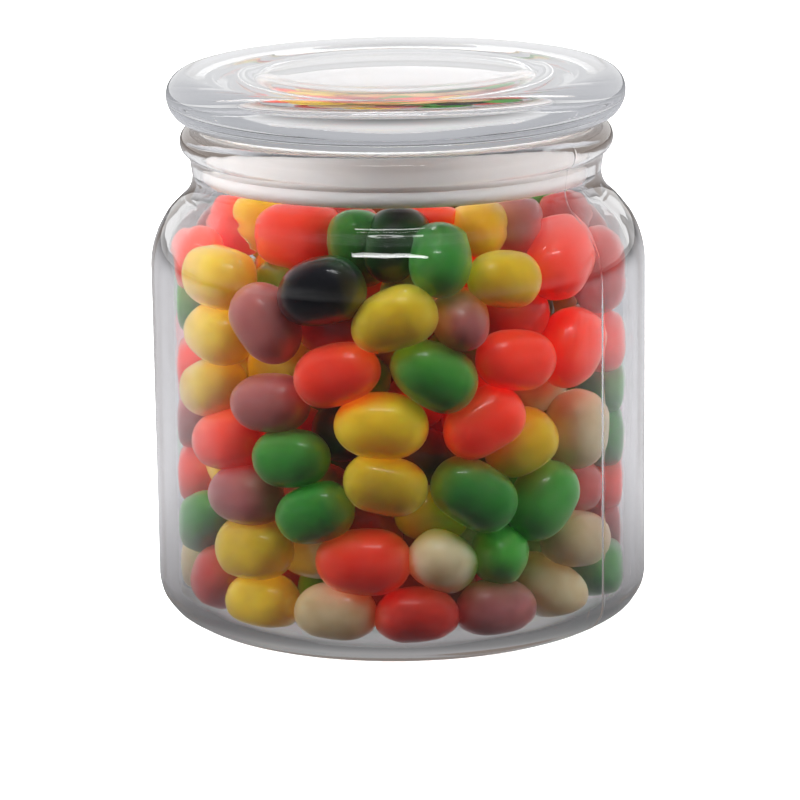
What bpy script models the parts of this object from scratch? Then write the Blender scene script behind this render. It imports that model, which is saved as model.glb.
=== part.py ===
"""Round glass sweet jar with a flat glass lid, filled with jelly beans.

Four pieces stand on one upright axis: the blown jar, the pressed lid whose
plug drops into the neck, the ribbed plastic ring that seals the plug, and the
heap of jelly beans. All sizes are in metres and +Z is up. The origin is on the
surface that the jar stands on, under its axis.
"""

import math

import bpy
import numpy as np

MM = 0.001
SEGMENTS = 52
SHARP_ANGLE = math.radians(38)
MERGE = 0.00001

# Clearance between pieces that touch on the real thing.
GAP = 0.3 * MM

# Jar, outside.
BODY_RADIUS = 54.0 * MM
HEEL_RADIUS = 7.9 * MM
FOOT_WIDTH = 5.5 * MM
PUNT_HEIGHT = 0.5 * MM
SHOULDER_Z = 77.0 * MM
SHOULDER_ROUND = 19.0 * MM
NECK_RADIUS = 44.5 * MM
NECK_ROUND = 7.0 * MM
BEAD_ROUND = 3.2 * MM
BEAD_CENTRE_RADIUS = 43.9 * MM
BEAD_Z = 104.4 * MM
LIP_Z = BEAD_Z + BEAD_ROUND

# Jar, inside.
WALL = 3.5 * MM
INNER_RADIUS = BODY_RADIUS - WALL
FLOOR_Z = 2.8 * MM
FLOOR_ROUND = 5.5 * MM
INNER_SHOULDER_ROUND = 16.0 * MM
BORE_RADIUS = 41.5 * MM
BORE_ROUND = 9.5 * MM
LIP_ROUND = 1.2 * MM

# Seal ring: a sleeve round the plug with ribs, and a thin flange over the lip.
SEAL_BOTTOM_Z = 96.4 * MM
SEAL_FLANGE = 0.6 * MM
SEAL_TOP_Z = LIP_Z + GAP + SEAL_FLANGE
SEAL_FLANGE_RADIUS = 43.0 * MM
SEAL_RIB_RADIUS = BORE_RADIUS - GAP
SEAL_SLEEVE_RADIUS = 40.3 * MM
SEAL_RIBS = 3

# Lid.
LID_TOP_Z = 120.0 * MM
LID_UNDER_Z = SEAL_TOP_Z + GAP
LID_RADIUS = 49.8 * MM
LID_RIM_ROUND = (LID_TOP_Z - LID_UNDER_Z) * 0.47
LID_RIM_Z = LID_UNDER_Z + 5.85 * MM
LID_CREST_RADIUS = 32.0 * MM
LID_CREST_FALL = 0.45 * MM
LID_DISH_RADIUS = 27.0 * MM
LID_DISH_DEPTH = 0.5 * MM
PLUG_RADIUS = 39.0 * MM
PLUG_WALL = 4.5 * MM
PLUG_BOTTOM_Z = 97.0 * MM
PLUG_ROUND = 1.2 * MM
PLUG_CEILING_Z = 113.0 * MM
PLUG_CEILING_ROUND = 5.0 * MM

# Jelly beans: the heap follows the glass, with a hollow between each two beans.
BEAN_THICKNESS = 12.0 * MM
HEAP_COLUMNS = 48
HEAP_BEANS_ROUND = 16
HEAP_ROWS_PER_BEAN = 3
HEAP_DIMPLE = 2.2 * MM
HEAP_TAPER_ROUND = 2.7
HEAP_TAPER_UP = 1.6
HEAP_WALL_TOP_Z = 86.5 * MM
HEAP_TOP_Z = 95.4 * MM
HEAP_TOP_RINGS = 8
HEAP_LUMP = 2.6 * MM
HEAP_LUMPS_ACROSS = 6
HEAP_LEVEL_SHARE = 0.72


def arc(centre, radius, start, stop, steps):
    """Points round a circle from one angle to another, in degrees, ends included."""
    angles = np.radians(np.linspace(start, stop, steps + 1))
    return [(centre[0] + radius * math.cos(a), centre[1] + radius * math.sin(a)) for a in angles]


def touching_height(centre_a, centre_b, reach):
    """Height between two circle centres that lie reach apart, from their distances to the axis."""
    return math.sqrt(reach ** 2 - (centre_b - centre_a) ** 2)


def shoulder(radius, shoulder_round, neck_radius, neck_round, steps):
    """Shoulder and neck of a bottle wall: a round outward arc that turns into a round inward one."""
    low = (radius - shoulder_round, SHOULDER_Z)
    high_x = neck_radius + neck_round
    rise = touching_height(low[0], high_x, shoulder_round + neck_round)
    high = (high_x, low[1] + rise)
    turn = math.degrees(math.atan2(rise, high_x - low[0]))
    outward = arc(low, shoulder_round, 0, turn, steps)
    inward = arc(high, neck_round, 180 + turn, 180, steps - 1)
    return outward + inward[1:]


def jar_profile():
    """Section of the jar from the inside of its floor, up the bore, over the lip and down outside."""
    inside = [(0.0, FLOOR_Z)]
    inside += arc((INNER_RADIUS - FLOOR_ROUND, FLOOR_Z + FLOOR_ROUND), FLOOR_ROUND, -90, 0, 3)
    inside += shoulder(INNER_RADIUS, INNER_SHOULDER_ROUND, BORE_RADIUS, BORE_ROUND, 3)
    lip = arc((BORE_RADIUS + LIP_ROUND, LIP_Z - LIP_ROUND), LIP_ROUND, 180, 90, 1)
    lip += arc((BEAD_CENTRE_RADIUS, BEAD_Z), BEAD_ROUND, 90, -75, 6)
    outside = shoulder(BODY_RADIUS, SHOULDER_ROUND, NECK_RADIUS, NECK_ROUND, 4)[::-1]
    outside += arc((BODY_RADIUS - HEEL_RADIUS, HEEL_RADIUS), HEEL_RADIUS, 0, -90, 4)
    foot = BODY_RADIUS - HEEL_RADIUS - FOOT_WIDTH
    outside += [(foot, 0.0), (foot - FOOT_WIDTH, PUNT_HEIGHT), (0.0, PUNT_HEIGHT)]
    return inside + lip + outside


def lid_profile():
    """Section of the lid from its dished top, over the rim, and round the plug to the plug's ceiling."""
    plug_inner = PLUG_RADIUS - PLUG_WALL
    ceiling = (plug_inner - PLUG_CEILING_ROUND, PLUG_CEILING_Z - PLUG_CEILING_ROUND)
    points = [(0.0, LID_TOP_Z - LID_DISH_DEPTH), (LID_DISH_RADIUS, LID_TOP_Z - LID_DISH_DEPTH)]
    middle = (LID_DISH_RADIUS + LID_CREST_RADIUS) / 2
    points += [(middle, LID_TOP_Z - LID_DISH_DEPTH / 2), (LID_CREST_RADIUS, LID_TOP_Z)]
    rim_centre = LID_RADIUS - LID_RIM_ROUND
    upper = LID_TOP_Z - LID_CREST_FALL - LID_RIM_Z
    lower = LID_RIM_Z - LID_UNDER_Z
    for turn in np.radians(np.linspace(90, 0, 5)):
        points.append((rim_centre + LID_RIM_ROUND * math.cos(turn), LID_RIM_Z + upper * math.sin(turn)))
    for turn in np.radians(np.linspace(0, -90, 5)[1:]):
        points.append((rim_centre + LID_RIM_ROUND * math.cos(turn), LID_RIM_Z + lower * math.sin(turn)))
    points.append((PLUG_RADIUS, LID_UNDER_Z))
    points += arc((PLUG_RADIUS - PLUG_ROUND, PLUG_BOTTOM_Z + PLUG_ROUND), PLUG_ROUND, 0, -90, 2)
    points += arc((plug_inner + PLUG_ROUND, PLUG_BOTTOM_Z + PLUG_ROUND), PLUG_ROUND, -90, -180, 2)
    points += arc(ceiling, PLUG_CEILING_ROUND, 0, 90, 3)
    points.append((0.0, PLUG_CEILING_Z))
    return points


def seal_profile():
    """Closed section of the seal ring, down its ribbed outside and back up its smooth inside."""
    flange_under = SEAL_TOP_Z - SEAL_FLANGE
    points = [(SEAL_FLANGE_RADIUS, SEAL_TOP_Z), (SEAL_FLANGE_RADIUS, flange_under)]
    points.append((SEAL_SLEEVE_RADIUS, flange_under))
    pitch = (flange_under - SEAL_BOTTOM_Z) / SEAL_RIBS
    for rib in range(SEAL_RIBS):
        top = flange_under - rib * pitch
        points.append((SEAL_RIB_RADIUS, top - 0.45 * pitch))
        points.append((SEAL_RIB_RADIUS, top - 0.65 * pitch))
        points.append((SEAL_SLEEVE_RADIUS, top - pitch))
    inner = PLUG_RADIUS + GAP
    points += [(inner, SEAL_BOTTOM_Z), (inner, SEAL_TOP_Z)]
    return points


def heap_outline():
    """Heap section up the glass: floor corner, straight side, and shoulder up to the highest bean there."""
    radius = INNER_RADIUS - GAP
    floor_round = FLOOR_ROUND - GAP
    corner = (radius - floor_round, FLOOR_Z + FLOOR_ROUND)
    floor_ring = ((radius - floor_round) / 2, FLOOR_Z + GAP)
    side = [floor_ring] + arc(corner, floor_round, -90, 0, 2)
    rows = int((SHOULDER_Z - corner[1]) / BEAN_THICKNESS) * HEAP_ROWS_PER_BEAN
    side += [(radius, z) for z in np.linspace(corner[1], SHOULDER_Z, rows + 1)[1:]]
    turned = math.degrees(math.asin((HEAP_WALL_TOP_Z - SHOULDER_Z) / (INNER_SHOULDER_ROUND - GAP)))
    centre = (INNER_RADIUS - INNER_SHOULDER_ROUND, SHOULDER_Z)
    side += arc(centre, INNER_SHOULDER_ROUND - GAP, 0, turned, 2)[1:]
    return np.array(side)


def bean_hollows(angle, height):
    """How far the heap stands back from the glass: nothing at a bean's middle, most between beans.

    The beans are taken as staggered rows of ellipses, each row turned by half a bean.
    """
    row = np.floor(height / BEAN_THICKNESS)
    across = angle / (2 * np.pi) * HEAP_BEANS_ROUND + 0.5 * (row % 2)
    across = across - np.round(across)
    up = height / BEAN_THICKNESS - row - 0.5
    dome = np.sqrt(np.clip(1 - (HEAP_TAPER_ROUND * across) ** 2 - (HEAP_TAPER_UP * up) ** 2, 0, 1))
    return HEAP_DIMPLE * (1 - dome)


def heap_top(angle, radius):
    """Top of the heap: level in the middle, falling to the shoulder, with a lump for each bean."""
    edge = radius[0]
    fall = np.clip((radius / edge - HEAP_LEVEL_SHARE) / (1 - HEAP_LEVEL_SHARE), 0, 1) ** 2
    level = HEAP_TOP_Z - HEAP_LUMP - (HEAP_TOP_Z - HEAP_LUMP - HEAP_WALL_TOP_Z) * fall
    x = radius * np.cos(angle) / edge * HEAP_LUMPS_ACROSS / 2
    y = radius * np.sin(angle) / edge * HEAP_LUMPS_ACROSS / 2
    lump = np.cos(2 * np.pi * x) * np.cos(np.pi * y) + 0.5 * np.sin(np.pi * (x + 1.3 * y))
    inside = 1 - fall
    return level + HEAP_LUMP * inside * lump / 1.5


def heap_rings():
    """Every ring of the heap as an array of rings by columns by (x, y, z), from the floor to the top."""
    outline = heap_outline()
    angle = np.arange(HEAP_COLUMNS) * 2 * np.pi / HEAP_COLUMNS
    radius, height = outline[:, :1], outline[:, 1:]
    depth = bean_hollows(angle[None, :], height)
    on_wall = (height > FLOOR_Z + FLOOR_ROUND / 2) & (height < HEAP_WALL_TOP_Z - GAP)
    side_radius = radius - depth * on_wall
    side_height = height + 0 * angle[None, :]
    share = np.linspace(1, 0, HEAP_TOP_RINGS + 1)[1:-1, None]
    top_radius = outline[-1, 0] * share + 0 * angle[None, :]
    top_height = heap_top(angle[None, :], np.vstack([side_radius[-1:], top_radius]))[1:]
    radius = np.vstack([side_radius, top_radius])
    height = np.vstack([side_height, top_height])
    return np.stack([radius * np.cos(angle), radius * np.sin(angle), height], axis=-1)


def new_object(name, mesh, material):
    """Put a mesh into the scene as one smooth-shaded object with its material."""
    mesh.materials.append(material)
    mesh.shade_smooth()
    mesh.set_sharp_from_angle(angle=SHARP_ANGLE)
    piece = bpy.data.objects.new(name, mesh)
    bpy.context.collection.objects.link(piece)
    return piece


def turned(name, profile, material, closed=False):
    """Turn a section once round Z with a Screw modifier. The section runs down its outer side."""
    count = len(profile)
    edges = [(i, i + 1) for i in range(count - 1)]
    if closed:
        edges.append((count - 1, 0))
    mesh = bpy.data.meshes.new(name)
    mesh.from_pydata([(r, 0.0, z) for r, z in profile], edges, [])
    piece = new_object(name, mesh, material)
    screw = piece.modifiers.new("turned", "SCREW")
    screw.axis = "Z"
    screw.angle = 2 * math.pi
    screw.steps = SEGMENTS
    screw.render_steps = SEGMENTS
    screw.use_merge_vertices = True
    screw.merge_threshold = MERGE
    screw.use_smooth_shade = True
    return piece


def make_heap(material):
    """Skin the heap's rings with quads and close it at its floor and its top with fans."""
    rings = heap_rings()
    count, columns = rings.shape[:2]
    bottom = (0.0, 0.0, rings[0, 0, 2])
    top = (0.0, 0.0, rings[-1, :, 2].mean())
    points = [tuple(p) for p in rings.reshape(-1, 3)] + [bottom, top]
    faces = []
    for i in range(columns):
        j = (i + 1) % columns
        faces.append((count * columns, j, i))
        faces.append((count * columns + 1, (count - 1) * columns + i, (count - 1) * columns + j))
        for ring in range(count - 1):
            low = ring * columns
            high = low + columns
            faces.append((low + i, low + j, high + j, high + i))
    mesh = bpy.data.meshes.new("jelly_beans")
    mesh.from_pydata(points, [], faces)
    return new_object("jelly_beans", mesh, material)


def principled(name, colour, roughness, transmission=0.0, ior=1.5):
    """One Principled material: colour, roughness and, for glass, how much light it lets through."""
    material = bpy.data.materials.new(name)
    material.use_nodes = True
    shader = material.node_tree.nodes["Principled BSDF"]
    shader.inputs["Base Color"].default_value = (*colour, 1.0)
    shader.inputs["Roughness"].default_value = roughness
    shader.inputs["Metallic"].default_value = 0.0
    shader.inputs["Transmission Weight"].default_value = transmission
    shader.inputs["IOR"].default_value = ior
    return material


def main():
    for old in list(bpy.data.objects):
        bpy.data.objects.remove(old, do_unlink=True)
    clear_glass = principled("clear_glass", (0.93, 0.94, 0.96), 0.02, 1.0, 1.52)
    lid_glass = principled("lid_glass", (0.93, 0.94, 0.96), 0.02, 1.0, 1.52)
    soft_plastic = principled("soft_plastic", (0.86, 0.83, 0.83), 0.4, 0.6)
    candy = principled("jelly_bean_shell", (0.62, 0.12, 0.06), 0.35)
    turned("jar", jar_profile(), clear_glass)
    turned("lid", lid_profile(), lid_glass)
    turned("seal_ring", seal_profile(), soft_plastic, closed=True)
    make_heap(candy)


main()
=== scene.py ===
# %% [markdown]
# # A glass jar of jelly beans
#
# A round glass sweet jar with a thick glass lid, full of mixed jelly beans.
# The solid model of the jar is already made and packed. This notebook dresses
# it: clear glass that bends light, a milky plastic seal, and some two hundred
# beans, no two alike. All lengths are in metres and Z points up.

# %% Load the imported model
import math

import bpy
import numpy as np
from mathutils import Matrix, Vector


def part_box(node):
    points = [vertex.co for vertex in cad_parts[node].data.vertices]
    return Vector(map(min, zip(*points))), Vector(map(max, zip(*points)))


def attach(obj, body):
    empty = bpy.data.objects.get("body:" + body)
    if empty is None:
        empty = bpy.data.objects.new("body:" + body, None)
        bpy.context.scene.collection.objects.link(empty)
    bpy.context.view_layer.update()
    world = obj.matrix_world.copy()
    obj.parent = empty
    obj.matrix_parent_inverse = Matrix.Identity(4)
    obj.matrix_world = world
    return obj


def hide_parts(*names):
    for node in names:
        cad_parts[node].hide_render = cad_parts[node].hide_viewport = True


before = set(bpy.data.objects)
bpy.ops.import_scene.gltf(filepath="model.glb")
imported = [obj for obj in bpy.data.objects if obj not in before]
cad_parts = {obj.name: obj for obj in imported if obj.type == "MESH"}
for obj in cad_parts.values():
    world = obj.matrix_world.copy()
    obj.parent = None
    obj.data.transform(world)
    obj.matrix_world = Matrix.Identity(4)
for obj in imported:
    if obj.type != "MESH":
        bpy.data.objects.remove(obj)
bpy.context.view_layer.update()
MM = 0.001

# %% [markdown]
# ## Small tools
#
# Four helpers do the dull work. The first turns a colour as painters write
# it into the linear light that a renderer adds up. The second adds one node
# to a material, with its settings and its links in one call, and the third
# starts an empty material. The last puts a grid of points into a mesh as
# whole arrays, which is far quicker than adding points one at a time.


# %% Helpers for colour, nodes and meshes
def linear(hex_colour):
    """sRGB hex to linear RGBA: below 0.04045 divide by 12.92, above it ((c + 0.055) / 1.055) ** 2.4."""
    c = np.array([int(hex_colour[i:i + 2], 16) for i in (1, 3, 5)]) / 255
    c = np.where(c <= 0.04045, c / 12.92, ((c + 0.055) / 1.055) ** 2.4)
    return (*c.tolist(), 1.0)


def add(tree, kind, inputs=None, **settings):
    """Add one node. settings are its own properties; an input is given a value or another node's output."""
    node = tree.nodes.new(kind)
    for name, value in settings.items():
        setattr(node, name, value)
    for name, value in (inputs or {}).items():
        if isinstance(value, bpy.types.NodeSocket):
            tree.links.new(value, node.inputs[name])
        else:
            node.inputs[name].default_value = value
    return node


def new_material(name):
    """An empty material: its tree and its output node."""
    material = bpy.data.materials.new(name)
    material.use_nodes = True
    material.node_tree.nodes.clear()
    return material, material.node_tree, add(material.node_tree, "ShaderNodeOutputMaterial")


def new_piece(name, points, faces, material, smooth=True):
    """Make one object at the origin from an array of points and an array (or list of arrays) of faces."""
    groups = faces if isinstance(faces, list) else [faces]
    loops = np.concatenate([g.ravel() for g in groups]).astype(np.int32)
    sizes = np.concatenate([np.full(len(g), g.shape[1]) for g in groups])
    starts = (np.cumsum(sizes) - sizes).astype(np.int32)
    mesh = bpy.data.meshes.new(name)
    mesh.vertices.add(len(points))
    mesh.vertices.foreach_set("co", np.ascontiguousarray(points, dtype=np.float32).ravel())
    mesh.loops.add(len(loops))
    mesh.loops.foreach_set("vertex_index", loops)
    mesh.polygons.add(len(sizes))
    mesh.polygons.foreach_set("loop_start", starts)
    mesh.update(calc_edges=True)
    mesh.validate()
    if smooth:
        mesh.shade_smooth()
    mesh.materials.append(material)
    piece = bpy.data.objects.new(name, mesh)
    bpy.context.collection.objects.link(piece)
    return piece


# %% [markdown]
# ## Camera
#
# The jar is seen from a little above through a long lens, so its sides stay
# nearly upright. The camera is tipped sideways by less than a degree, as a
# hand-set tripod is.

# %% Camera
AIM_HEIGHT = 45.4 * MM
CAMERA_DISTANCE = 860 * MM
LOOK_DOWN = math.radians(13.74)
CAMERA_ROLL = math.radians(-0.8)
LENS_MM = 175.3

camera_data = bpy.data.cameras.new("camera")
camera_data.lens = LENS_MM
camera_data.sensor_width = 36
camera_data.clip_start = 0.05
camera_data.clip_end = 50
camera = bpy.data.objects.new("camera", camera_data)
camera.location = (
    0,
    -CAMERA_DISTANCE * math.cos(LOOK_DOWN),
    AIM_HEIGHT + CAMERA_DISTANCE * math.sin(LOOK_DOWN),
)
camera.rotation_mode = "YXZ"
camera.rotation_euler = (math.pi / 2 - LOOK_DOWN, 0, 0)
bpy.context.collection.objects.link(camera)
bpy.context.scene.camera = camera
level = camera.rotation_euler.to_matrix().to_4x4()
camera.rotation_euler = (level @ Matrix.Rotation(CAMERA_ROLL, 4, "Z")).to_euler("YXZ")
print("camera at", tuple(round(v, 3) for v in camera.location))

# %% [markdown]
# ## Floor
#
# Glass has no colour of its own: it shows what stands round it. This floor is
# white to the eye, but the light it gives the glass is that of a product
# table. A grey sweep behind gives the side walls their body. A dark card in
# front keeps the wall from mirroring white and washing the candy out. A small
# light table under the jar, brightest in its middle, lifts the thick base.


# %% Floor
SWEEP_TONE = "#6e6e70"
CARD_TONE = "#1e1e20"
TABLE_R = 62 * MM
TABLE_GLOW = 0.5
TABLE_EDGE_GLOW = 0.13
FLOOR_HALF = 6.0
FLOOR_DROP = 0.2 * MM


def plain_floor():
    """A pale matt surface, large enough to fill every view.

    The tone it gives the glass is a smooth step of Y, from card to sweep. Within TABLE_R of the axis it is
    the card's, and glows by a smooth step of the distance. To the eye it is white, and whiter still far away.
    """
    material, tree, output = new_material("pale_matt_paper")
    place = add(tree, "ShaderNodeTexCoord")
    parts = add(tree, "ShaderNodeSeparateXYZ", {0: place.outputs["Object"]})
    behind = add(tree, "ShaderNodeMapRange", {
        0: parts.outputs["Y"], 1: -0.1, 2: 0.1}, interpolation_type="SMOOTHSTEP")
    distance = add(tree, "ShaderNodeVectorMath", {0: place.outputs["Object"]}, operation="LENGTH")
    under = add(tree, "ShaderNodeMapRange", {
        0: distance.outputs["Value"], 1: TABLE_R, 2: 0.8 * TABLE_R}, interpolation_type="SMOOTHSTEP")
    shining = add(tree, "ShaderNodeMapRange", {
        0: distance.outputs["Value"], 1: 0.85 * TABLE_R, 2: 0.65 * TABLE_R,
        3: TABLE_EDGE_GLOW, 4: TABLE_GLOW}, interpolation_type="SMOOTHSTEP")
    table = add(tree, "ShaderNodeMath", {0: under.outputs[0], 1: shining.outputs[0]}, operation="MULTIPLY")
    path = add(tree, "ShaderNodeLightPath")
    sweep = add(tree, "ShaderNodeMix", {
        "Factor": behind.outputs[0], 6: linear(CARD_TONE), 7: linear(SWEEP_TONE)}, data_type="RGBA")
    ground = add(tree, "ShaderNodeMix", {
        "Factor": under.outputs[0], 6: sweep.outputs[2], 7: linear(CARD_TONE)}, data_type="RGBA")
    seen = add(tree, "ShaderNodeMix", {
        "Factor": path.outputs["Is Camera Ray"],
        6: ground.outputs[2], 7: linear("#f6f6f6")}, data_type="RGBA")
    faded = add(tree, "ShaderNodeMapRange", {
        0: distance.outputs["Value"], 1: 0.3, 2: 1.5, 3: 0.3, 4: 1.0}, interpolation_type="SMOOTHSTEP")
    glow = add(tree, "ShaderNodeMix", {
        "Factor": path.outputs["Is Camera Ray"], 2: table.outputs[0], 3: faded.outputs[0]})
    shader = add(tree, "ShaderNodeBsdfPrincipled", {
        "Base Color": seen.outputs[2], "Roughness": 0.9, "Specular IOR Level": 0.1,
        "Emission Color": linear("#ffffff"), "Emission Strength": glow.outputs[0]})
    tree.links.new(shader.outputs[0], output.inputs["Surface"])
    corners = np.array([(-1, -1, 0), (1, -1, 0), (1, 1, 0), (-1, 1, 0)])
    points = corners * FLOOR_HALF - (0, 0, FLOOR_DROP)
    floor = new_piece("floor", points, np.array([[0, 1, 2, 3]]), material, smooth=False)
    return floor


floor = plain_floor()

# %% [markdown]
# ## Sky and softboxes
#
# The sky is white behind the jar and dim in front, with a pale band along the
# horizon. Three large softboxes light the candy through the glass. They aren't
# mirrored in it, as lamps behind crossed filters aren't. One narrow lamp is,
# and draws the short bright lines on the shoulder and on the shells.

# %% Sky and softboxes
FAR_LIGHT = 1.0
NEAR_LIGHT = 0.06
HORIZON_LIGHT = 0.48


def studio_sky():
    """White behind, dim overhead and in front, with a pale band along the horizon. The eye sees plain white.

    Strength is the larger of a smooth step of Y - 0.35 Z of the direction and a band that is gone by Z = 0.3,
    which is itself a smooth step of Y.
    """
    world = bpy.data.worlds.new("studio")
    bpy.context.scene.world = world
    world.use_nodes = True
    tree = world.node_tree
    tree.nodes.clear()
    direction = add(tree, "ShaderNodeTexCoord")
    parts = add(tree, "ShaderNodeSeparateXYZ", {0: direction.outputs["Generated"]})
    tipped = add(tree, "ShaderNodeMath", {
        0: parts.outputs["Z"], 1: -0.35, 2: parts.outputs["Y"]}, operation="MULTIPLY_ADD")
    share = add(tree, "ShaderNodeMapRange", {
        0: tipped.outputs[0], 1: -0.6, 2: 0.8, 3: NEAR_LIGHT, 4: FAR_LIGHT},
        interpolation_type="SMOOTHSTEP")
    round_back = add(tree, "ShaderNodeMapRange", {
        0: parts.outputs["Y"], 1: -1.0, 2: -0.4, 3: 0.4 * HORIZON_LIGHT, 4: HORIZON_LIGHT},
        interpolation_type="SMOOTHSTEP")
    band = add(tree, "ShaderNodeMapRange", {
        0: parts.outputs["Z"], 1: 0.3, 2: 0.02, 3: 0, 4: round_back.outputs[0]},
        interpolation_type="SMOOTHSTEP")
    whole = add(tree, "ShaderNodeMath", {0: share.outputs[0], 1: band.outputs[0]}, operation="MAXIMUM")
    path = add(tree, "ShaderNodeLightPath")
    seen = add(tree, "ShaderNodeMix", {"Factor": path.outputs["Is Camera Ray"], 2: whole.outputs[0], 3: 1.0})
    sky = add(tree, "ShaderNodeBackground", {"Color": linear("#ffffff"), "Strength": seen.outputs[0]})
    output = add(tree, "ShaderNodeOutputWorld")
    tree.links.new(sky.outputs[0], output.inputs["Surface"])


def softbox(name, place, aim, width, height, watts, mirrored=True):
    """A rectangular area light at a place, turned to face the aim. Glass shows it only if mirrored is set."""
    light = bpy.data.lights.new(name, "AREA")
    light.shape = "RECTANGLE"
    light.size = width
    light.size_y = height
    light.energy = watts
    box = bpy.data.objects.new(name, light)
    box.location = place
    box.rotation_mode = "QUATERNION"
    box.rotation_quaternion = (Vector(aim) - Vector(place)).to_track_quat("-Z", "Y")
    box.visible_glossy = box.visible_transmission = mirrored
    bpy.context.collection.objects.link(box)
    return box


studio_sky()
softbox("softbox_overhead", (0.0, 0.0, 1.1), (0, 0, 0.06), 1.2, 0.9, 50, mirrored=False)
softbox("strip_light", (-0.05, -0.5, 1.0), (0, 0, 0.06), 0.5, 0.06, 1.1)
softbox("softbox_left", (-0.93, -0.15, 0.6), (0, 0, 0.06), 0.5, 0.5, 20, mirrored=False)
softbox("softbox_right", (0.93, -0.15, 0.6), (0, 0, 0.06), 0.5, 0.5, 20, mirrored=False)
view = bpy.context.scene.view_settings
view.view_transform = "Standard"
view.look = "None"
print("one sky and", len(bpy.data.lights), "softboxes")

# %% [markdown]
# ## The jar's glass
#
# A jar like this is pressed and blown in an iron mould. Its section is one
# line from the middle of the floor, up the inside, over the lip and down the
# outside, and turning that line round the axis gives the whole jar, wall
# thickness and all. A Screw modifier could do it. Here the turning is written
# out, because a real jar isn't perfectly round inside: its wall waves a
# little, and the two halves of the mould leave a fine seam down each side.

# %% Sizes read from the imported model
jar_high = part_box("jar")[1]
lid_low, lid_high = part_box("lid")
seal_low, seal_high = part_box("seal_ring")
BODY_R = jar_high[0]
LIP_Z = jar_high[2]
LID_R = lid_high[0]
LID_TOP = lid_high[2]
PLUG_BOTTOM = lid_low[2]
SEAL_BOTTOM = seal_low[2]
SEAL_TOP = seal_high[2]
GAP = 0.3 * MM

HEEL = 7.9 * MM
SHOULDER_Z = 77 * MM
SHOULDER_ROUND = 19 * MM
NECK_R = 44.5 * MM
NECK_ROUND = 7 * MM
BEAD_R = 43.9 * MM
BEAD_ROUND = 3.2 * MM
WALL = 3.5 * MM
INNER_R = BODY_R - WALL
FLOOR_Z = 2.8 * MM
FLOOR_ROUND = 5.5 * MM
INNER_SHOULDER = 16 * MM
BORE_R = 41.5 * MM
BORE_ROUND = 9.5 * MM
PUNT = 0.5 * MM
FOOT_WIDTH = 5.5 * MM
LIP_ROUND = 1.2 * MM
print("jar radius", BODY_R, "lip at", LIP_Z, "lid top at", LID_TOP)

# %% [markdown]
# ## From a line to a vessel
#
# Whatever is pressed, blown or turned has the same section all the way round.
# Four small tools make use of that. One draws an arc, one sets points along
# the straight stretches, one turns the line into a closed surface, and one
# measures the volume inside, so a surface that came out inside out is
# turned back.


# %% Turning a section round the axis
def arc(x, z, radius, start, stop, count):
    """Points round a circle at (x, z): x + radius cos a, z + radius sin a, from start to stop in degrees."""
    a = np.radians(np.linspace(start, stop, count))
    return np.stack([x + radius * np.cos(a), z + radius * np.sin(a)], axis=1)


def evened(section, spacing):
    """The same section with points no further apart than spacing, added along its straight stretches."""
    steps = np.linalg.norm(np.diff(section, axis=0), axis=1)
    pieces = [
        np.linspace(a, b, max(int(np.ceil(d / spacing)), 1), endpoint=False)
        for a, b, d in zip(section[:-1], section[1:], steps)
        if d > 1e-7
    ]
    return np.concatenate(pieces + [section[-1:]])


def turned(section, angles, closed=False):
    """Turn a section of (radius, height) round Z.

    Point (i, j) is (r_i cos a_j, r_i sin a_j, z_i). Ends on the axis become one
    point each. Returns the points and the faces, which all point outwards.
    """
    on_axis = section[:, 0] < 1e-9
    rings = section[~on_axis]
    rows, columns = len(rings), len(angles)
    points = np.stack([
        rings[:, :1] * np.cos(angles),
        rings[:, :1] * np.sin(angles),
        rings[:, 1:] + 0 * angles,
    ], axis=-1).reshape(-1, 3)
    row = np.arange(rows if closed else rows - 1)[:, None] * columns
    up = (row + columns) % (rows * columns)
    i = np.arange(columns)
    j = (i + 1) % columns
    quads = np.stack([row + i, row + j, up + j, up + i], axis=-1).reshape(-1, 4)
    faces = [quads]
    if on_axis[0]:
        points = np.vstack([points, (0, 0, section[0, 1])])
        faces.append(np.stack([j, i, np.full(columns, len(points) - 1)], axis=-1))
    if on_axis[-1]:
        points = np.vstack([points, (0, 0, section[-1, 1])])
        last = (rows - 1) * columns
        faces.append(np.stack([last + i, last + j, np.full(columns, len(points) - 1)], axis=-1))
    if enclosed(points, faces) < 0:
        faces = [f[:, ::-1] for f in faces]
    return points, faces


def enclosed(points, faces):
    """Volume inside the faces: the sum of a . (b x c) / 6 over their triangles, negative if inside out."""
    total = 0.0
    for group in faces:
        a = points[group[:, 0]]
        for k in range(1, group.shape[1] - 1):
            b, c = points[group[:, k]], points[group[:, k + 1]]
            total += np.einsum("ij,ij->", a, np.cross(b, c)) / 6
    return total


# %% [markdown]
# ## The jar's section and the marks of its mould
#
# The wall is 3.5 mm thick, and 3 mm at the neck. Inside and outside, the
# shoulder is two arcs that flow into each other. Perfect glass looks like a
# drawing, so the marks of making follow: the inside waves a little where it
# was blown, the heel is faintly stepped where it was pressed, and a fine seam
# runs up each side.


# %% Section of the jar
def shoulder(radius, round_out, neck, round_in, count):
    """An outward arc that flows into an inward one where the two circles touch."""
    low_x, high_x = radius - round_out, neck + round_in
    rise = math.sqrt((round_out + round_in) ** 2 - (high_x - low_x) ** 2)
    turn = math.degrees(math.atan2(rise, high_x - low_x))
    out = arc(low_x, SHOULDER_Z, round_out, 0, turn, count)
    back = arc(high_x, SHOULDER_Z + rise, round_in, 180 + turn, 180, count)
    return np.vstack([out, back[1:]])


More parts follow.
